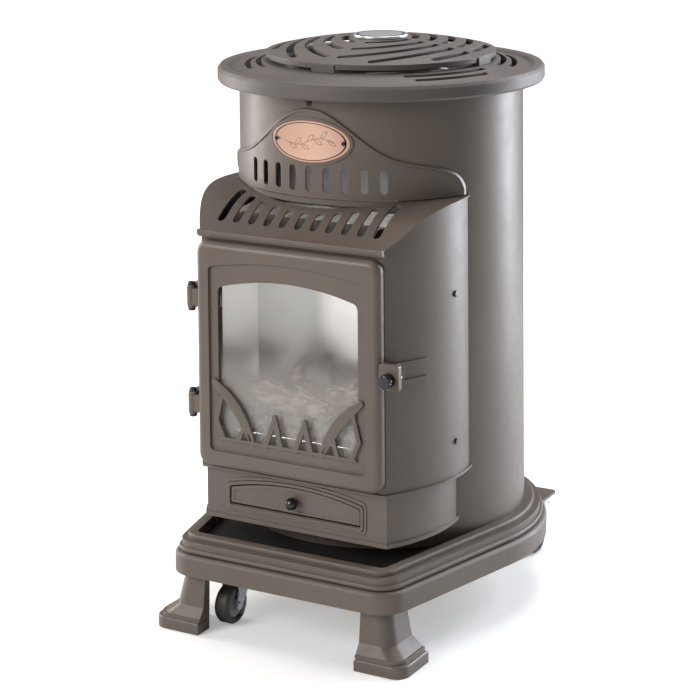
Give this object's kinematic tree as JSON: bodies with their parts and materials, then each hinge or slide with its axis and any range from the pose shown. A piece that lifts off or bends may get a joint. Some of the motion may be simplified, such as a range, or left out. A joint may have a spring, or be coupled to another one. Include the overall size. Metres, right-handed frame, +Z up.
{
  "type": "portable cabinet heater",
  "caption": "Stove-style portable bottled-gas heater with log-effect fire behind a glazed cast door, a drum body on a moulded plinth, domed lid grille and castors.",
  "frame": {"origin": "on the floor, in the middle of the whole heater's footprint", "axes": "+Z up, -Y towards the door side, +X to the right as seen by a person facing the door"},
  "size_m": [0.4418, 0.518, 0.752],
  "materials": {
    "body_paint": "satin",
    "cast_paint": "satin cast",
    "polished_steel": "polished",
    "plain_steel": "brushed",
    "copper": "brushed copper",
    "bright_plate": "polished",
    "black_chrome": "black polished",
    "pane": "clear",
    "rope": "woven",
    "fireclay": "matt",
    "embers": "matt",
    "hose_rubber": "matt",
    "valve_brass": "machined",
    "dark_plastic": "matt",
    "regulator_metal": "cast",
    "bottle_paint": "gloss",
    "zinc": "zinc plated",
    "wheel_rubber": "matt"
  },
  "bodies": {
    "base": {"badge_rivets": "black_chrome", "burner": "plain_steel", "cabinet_casing": "body_paint", "canopy": "body_paint", "casing_screws": "black_chrome", "castor_plates": "plain_steel", "collar": "body_paint", "control_fascia": "plain_steel", "crown_plate": "cast_paint", "drum_casing": "body_paint", "ember_bed": "embers", "front_frame": "body_paint", "gas_bottle": "bottle_paint", "gas_hose": "hose_rubber", "gas_valve": "valve_brass", "heat_shield": "plain_steel", "hinge_brackets": "body_paint", "hinge_pins": "black_chrome", "latch_keeper": "body_paint", "leg_left": "body_paint", "leg_right": "body_paint", "log_back": "fireclay", "log_front": "fireclay", "log_left": "fireclay", "log_right": "fireclay", "lower_body": "body_paint", "oval_badge": "copper", "piezo_igniter": "dark_plastic", "pilot_assembly": "valve_brass", "plinth": "body_paint", "rear_castor_brackets": "body_paint", "reflector": "polished_steel", "regulator": "regulator_metal"},
    "rear_cover": {"rear_cover": "body_paint"},
    "lid": {"lid_grille": "cast_paint", "lid_badge": "bright_plate"},
    "door": {"door_frame": "body_paint", "door_glass": "pane", "glass_seal": "rope", "glass_clips": "plain_steel", "gallery": "body_paint"},
    "latch": {"latch_knob": "black_chrome", "latch_cam": "plain_steel"},
    "flap": {"control_flap": "body_paint", "flap_knob": "black_chrome"},
    "gas_tap": {"control_knob": "dark_plastic"},
    "igniter": {"igniter_button": "dark_plastic"},
    "regulator_tap": {"regulator_lever": "dark_plastic"},
    "swivel_front_left": {"castor_fork_front_left": "zinc", "castor_axle_front_left": "zinc"},
    "wheel_front_left": {"castor_wheel_front_left": "wheel_rubber"},
    "swivel_front_right": {"castor_fork_front_right": "zinc", "castor_axle_front_right": "zinc"},
    "wheel_front_right": {"castor_wheel_front_right": "wheel_rubber"},
    "swivel_rear_left": {"castor_fork_rear_left": "zinc", "castor_axle_rear_left": "zinc"},
    "wheel_rear_left": {"castor_wheel_rear_left": "wheel_rubber"},
    "swivel_rear_right": {"castor_fork_rear_right": "zinc", "castor_axle_rear_right": "zinc"},
    "wheel_rear_right": {"castor_wheel_rear_right": "wheel_rubber"}
  },
  "joints": [
    {"name": "door_hinge", "type": "hinge", "parent": "base", "child": "door", "pos_m": [-0.146, -0.215, 0.361], "axis": [0, 0, -1], "range_deg": [0, 110]},
    {"name": "latch_turn", "type": "hinge", "parent": "door", "child": "latch", "pos_m": [0.148, -0.218, 0.361], "axis": [0, 1, 0], "range_deg": [0, 90]},
    {"name": "flap_hinge", "type": "hinge", "parent": "base", "child": "flap", "pos_m": [0, -0.201, 0.165], "axis": [1, 0, 0], "range_deg": [0, 80]},
    {"name": "gas_tap_turn", "type": "hinge", "parent": "base", "child": "gas_tap", "pos_m": [-0.042, -0.188, 0.18], "axis": [0, 1, 0], "range_deg": [0, 210]},
    {"name": "igniter_push", "type": "slide", "parent": "base", "child": "igniter", "axis": [0, 1, 0], "range_m": [0, 0.005], "stiffness_N_per_m": 600, "springref_m": -0.002},
    {"name": "lid_lift", "type": "slide", "parent": "base", "child": "lid", "axis": [0, 0, 1], "range_m": [0, 0.06]},
    {"name": "rear_cover_off", "type": "slide", "parent": "base", "child": "rear_cover", "axis": [0, 1, 0], "range_m": [0, 0.12]},
    {"name": "regulator_turn", "type": "hinge", "parent": "base", "child": "regulator_tap", "pos_m": [0, 0.08, 0.622], "axis": [0, 0, 1], "range_deg": [0, 90]},
    {"name": "castor_swivel_front_left", "type": "hinge", "parent": "base", "child": "swivel_front_left", "pos_m": [-0.102, -0.18, 0.06], "axis": [0, 0, 1], "continuous": true},
    {"name": "castor_spin_front_left", "type": "hinge", "parent": "swivel_front_left", "child": "wheel_front_left", "pos_m": [-0.102, -0.2, 0.025], "axis": [1, 0, 0], "continuous": true},
    {"name": "castor_swivel_front_right", "type": "hinge", "parent": "base", "child": "swivel_front_right", "pos_m": [0.102, -0.18, 0.06], "axis": [0, 0, 1], "continuous": true},
    {"name": "castor_spin_front_right", "type": "hinge", "parent": "swivel_front_right", "child": "wheel_front_right", "pos_m": [0.11932, -0.19, 0.025], "axis": [0.5, 0.866, 0], "continuous": true},
    {"name": "castor_swivel_rear_left", "type": "hinge", "parent": "base", "child": "swivel_rear_left", "pos_m": [-0.136, 0.237, 0.06], "axis": [0, 0, 1], "continuous": true},
    {"name": "castor_spin_rear_left", "type": "hinge", "parent": "swivel_rear_left", "child": "wheel_rear_left", "pos_m": [-0.136, 0.217, 0.025], "axis": [1, 0, 0], "continuous": true},
    {"name": "castor_swivel_rear_right", "type": "hinge", "parent": "base", "child": "swivel_rear_right", "pos_m": [0.136, 0.237, 0.06], "axis": [0, 0, 1], "continuous": true},
    {"name": "castor_spin_rear_right", "type": "hinge", "parent": "swivel_rear_right", "child": "wheel_rear_right", "pos_m": [0.136, 0.217, 0.025], "axis": [1, 0, 0], "continuous": true}
  ]
}
